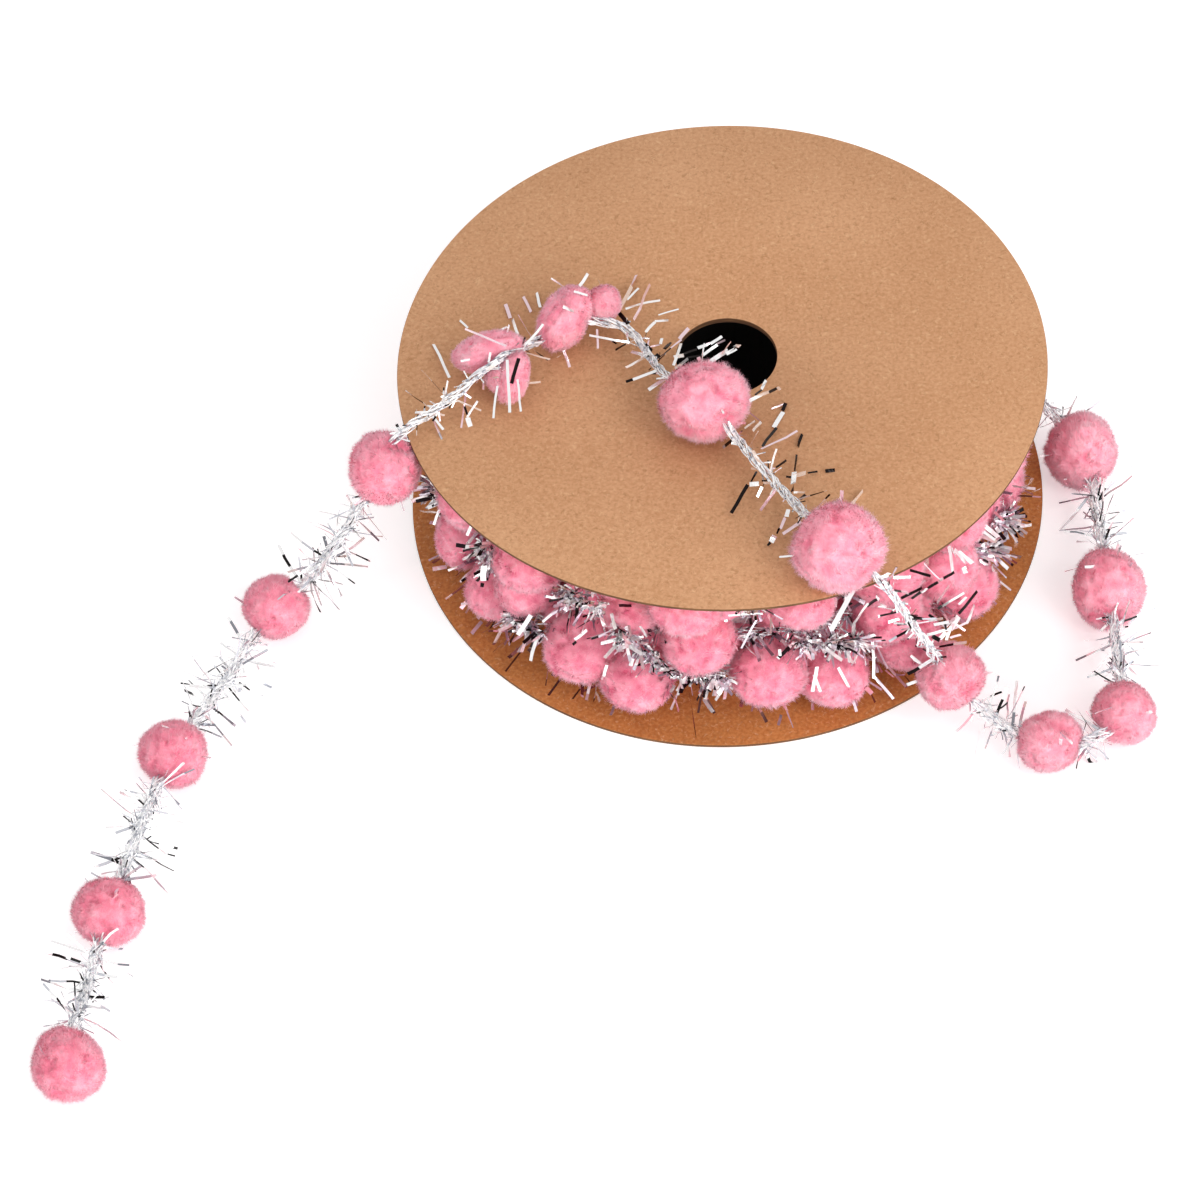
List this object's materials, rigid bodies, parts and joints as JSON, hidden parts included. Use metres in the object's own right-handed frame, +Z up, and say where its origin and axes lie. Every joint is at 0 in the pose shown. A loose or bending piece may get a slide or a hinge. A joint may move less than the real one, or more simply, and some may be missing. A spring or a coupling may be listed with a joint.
{
  "type": "pompom ribbon wound on a cardboard spool",
  "caption": "Tinsel thread with soft round pompoms, wound on a flanged cardboard spool that lies flat, its loose end trailing across the spool and over the surface.",
  "frame": {"origin": "on the spool's axis, at the underside of its lower flange, which lies on the surface", "axes": "+Z up along the spool's axis, -Y towards the viewer of the picture, +X to the viewer's right"},
  "size_m": [0.1515, 0.1456, 0.0414],
  "materials": {
    "kraft_board": "matt kraft board",
    "tube_board": "matt tube board",
    "pompom_pile": "short plush pile",
    "silver_foil": "bright metallised film",
    "silver_thread": "twisted lurex thread"
  },
  "bodies": {
    "root": {"flange_lower": "kraft_board", "flange_upper": "kraft_board", "core_tube": "tube_board", "wound_roll": "pompom_pile", "loose_thread": "silver_thread", "pompom_01": "pompom_pile", "pompom_02": "pompom_pile", "pompom_03": "pompom_pile", "pompom_04": "pompom_pile", "pompom_05": "pompom_pile", "pompom_06": "pompom_pile", "pompom_07": "pompom_pile", "pompom_08": "pompom_pile", "pompom_09": "pompom_pile", "pompom_10": "pompom_pile", "pompom_11": "pompom_pile", "pompom_12": "pompom_pile", "pompom_13": "pompom_pile", "pompom_14": "pompom_pile", "tinsel_00": "silver_foil", "tinsel_01": "silver_foil", "tinsel_02": "silver_foil", "tinsel_03": "silver_foil", "tinsel_04": "silver_foil", "tinsel_05": "silver_foil", "tinsel_06": "silver_foil", "tinsel_07": "silver_foil", "tinsel_08": "silver_foil", "tinsel_09": "silver_foil", "tinsel_10": "silver_foil", "tinsel_11": "silver_foil", "tinsel_12": "silver_foil", "tinsel_13": "silver_foil", "roll_tinsel_01": "silver_foil", "roll_tinsel_02": "silver_foil", "roll_tinsel_03": "silver_foil", "roll_tinsel_04": "silver_foil", "roll_tinsel_05": "silver_foil", "roll_tinsel_06": "silver_foil", "roll_tinsel_07": "silver_foil", "roll_tinsel_08": "silver_foil", "roll_tinsel_09": "silver_foil"}
  },
  "joints": []
}
